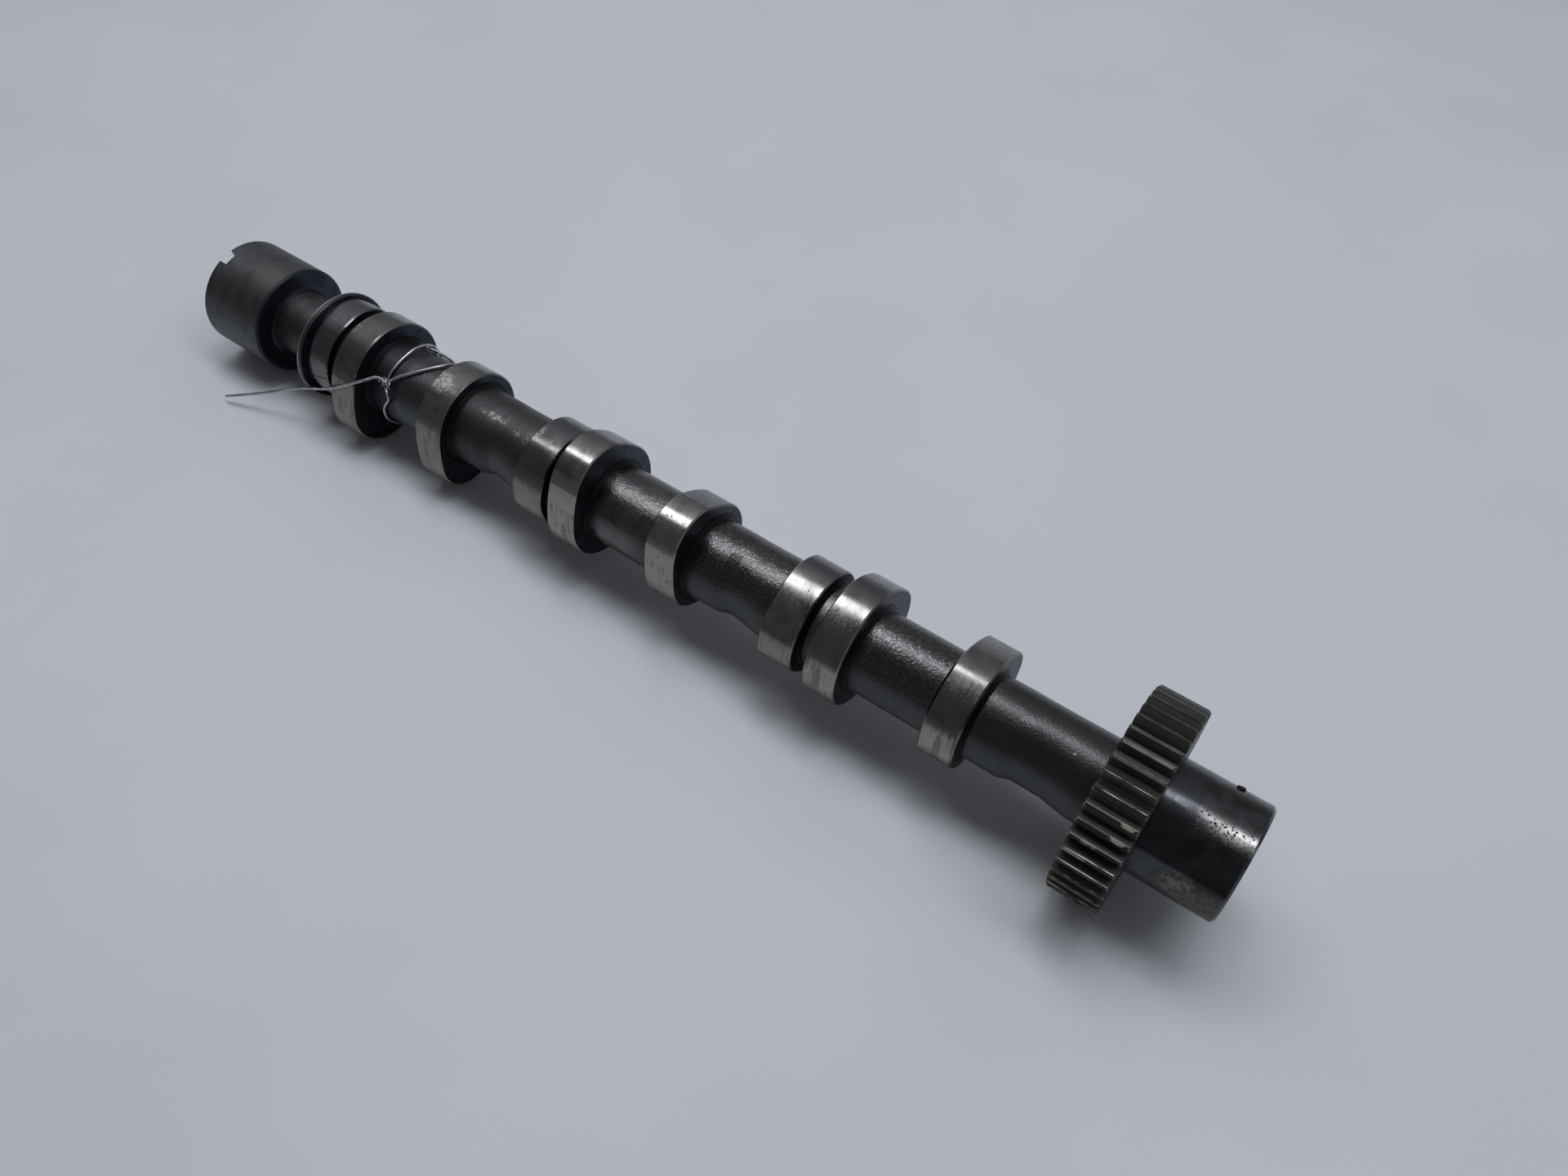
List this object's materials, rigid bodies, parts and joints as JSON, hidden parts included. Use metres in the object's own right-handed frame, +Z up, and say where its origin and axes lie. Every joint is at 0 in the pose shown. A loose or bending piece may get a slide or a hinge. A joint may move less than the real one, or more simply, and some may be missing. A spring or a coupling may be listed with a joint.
{
  "type": "camshaft",
  "caption": "Camshaft for a small engine: journals at both ends, three cam lobes a cylinder, an integral spur drive gear, a slotted rear end and a twist of tag wire.",
  "frame": {"origin": "on the shaft's axis in the plane of the slotted rear end face", "axes": "+X along the axis from the slotted rear end towards the drive gear, +Z up as the shaft lies at rest, +Y to the left of +X"},
  "size_m": [0.4092, 0.0682, 0.066],
  "materials": {
    "camshaft_iron": "dark as-cast shaft with satin ground lobes and journals",
    "wire_steel": "dull galvanised wire"
  },
  "bodies": {
    "root": {"camshaft": "camshaft_iron", "tag_wire": "wire_steel"}
  },
  "joints": []
}
